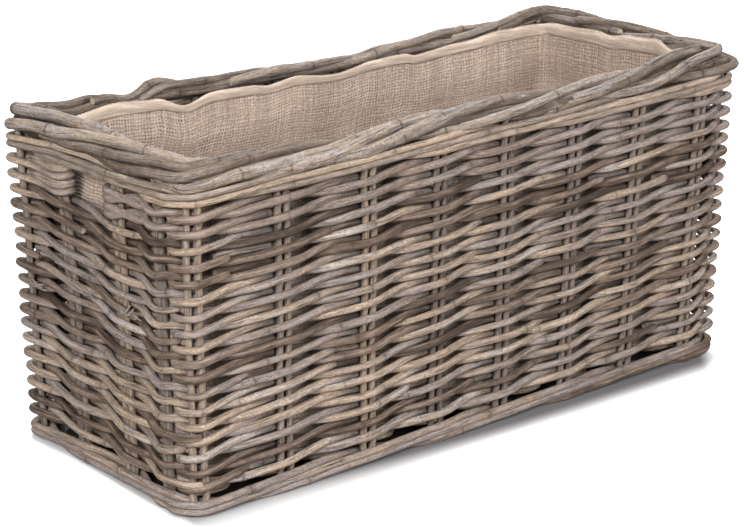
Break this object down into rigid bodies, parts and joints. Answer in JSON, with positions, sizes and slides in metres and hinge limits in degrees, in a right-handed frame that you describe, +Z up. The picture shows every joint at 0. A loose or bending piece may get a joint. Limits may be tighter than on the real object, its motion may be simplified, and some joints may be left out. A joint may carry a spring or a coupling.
{
  "type": "rattan storage basket",
  "caption": "Rectangular woven rattan storage basket, open on top, with a hand hole in each short wall and a fabric liner bound at its top edge.",
  "frame": {"origin": "middle of the foot, on the floor", "axes": "+X along the long walls, +Y along the short walls, +Z up"},
  "size_m": [0.7628, 0.3168, 0.3574],
  "materials": {
    "grey_rattan": "weathered grey rattan, matt, with knots and fine lengthwise grain",
    "pale_rattan": "paler buff rattan, matt",
    "hessian": "loose plain-weave hessian",
    "band_cotton": "folded cotton binding tape"
  },
  "bodies": {
    "root": {"base_stick_1": "pale_rattan", "base_stick_2": "pale_rattan", "base_stick_3": "pale_rattan", "base_weave": "pale_rattan", "border_rod_1": "grey_rattan", "border_rod_2": "grey_rattan", "border_rod_3": "grey_rattan", "foot_wale_rod_1": "grey_rattan", "foot_wale_rod_2": "grey_rattan", "foot_wale_rod_3": "grey_rattan", "liner": "hessian", "liner_band": "band_cotton", "row_01": "grey_rattan", "row_02": "grey_rattan", "row_03": "grey_rattan", "row_04": "grey_rattan", "row_05": "grey_rattan", "row_06": "grey_rattan", "row_07": "grey_rattan", "row_08": "grey_rattan", "row_09": "grey_rattan", "row_10": "grey_rattan", "row_11": "grey_rattan", "row_12": "grey_rattan", "row_13": "grey_rattan", "row_14": "grey_rattan", "row_15": "grey_rattan", "row_16": "grey_rattan", "row_17_front": "grey_rattan", "row_17_rear": "grey_rattan", "row_18_front": "grey_rattan", "row_18_rear": "grey_rattan", "stake_01": "pale_rattan", "stake_02": "pale_rattan", "stake_03": "pale_rattan", "stake_04": "pale_rattan", "stake_05": "pale_rattan", "stake_06": "pale_rattan", "stake_07": "pale_rattan", "stake_08": "pale_rattan", "stake_09": "pale_rattan", "stake_10": "pale_rattan", "stake_11": "pale_rattan", "stake_12": "pale_rattan", "stake_13": "pale_rattan", "stake_14": "pale_rattan", "stake_15": "pale_rattan", "stake_16": "pale_rattan", "stake_17": "pale_rattan", "stake_18": "pale_rattan", "stake_19": "pale_rattan", "stake_20": "pale_rattan", "stake_21": "pale_rattan", "stake_22": "pale_rattan", "stake_23": "pale_rattan", "stake_24": "pale_rattan", "top_wale_rod_1": "pale_rattan", "top_wale_rod_2": "pale_rattan", "top_wale_rod_3": "pale_rattan"}
  },
  "joints": []
}
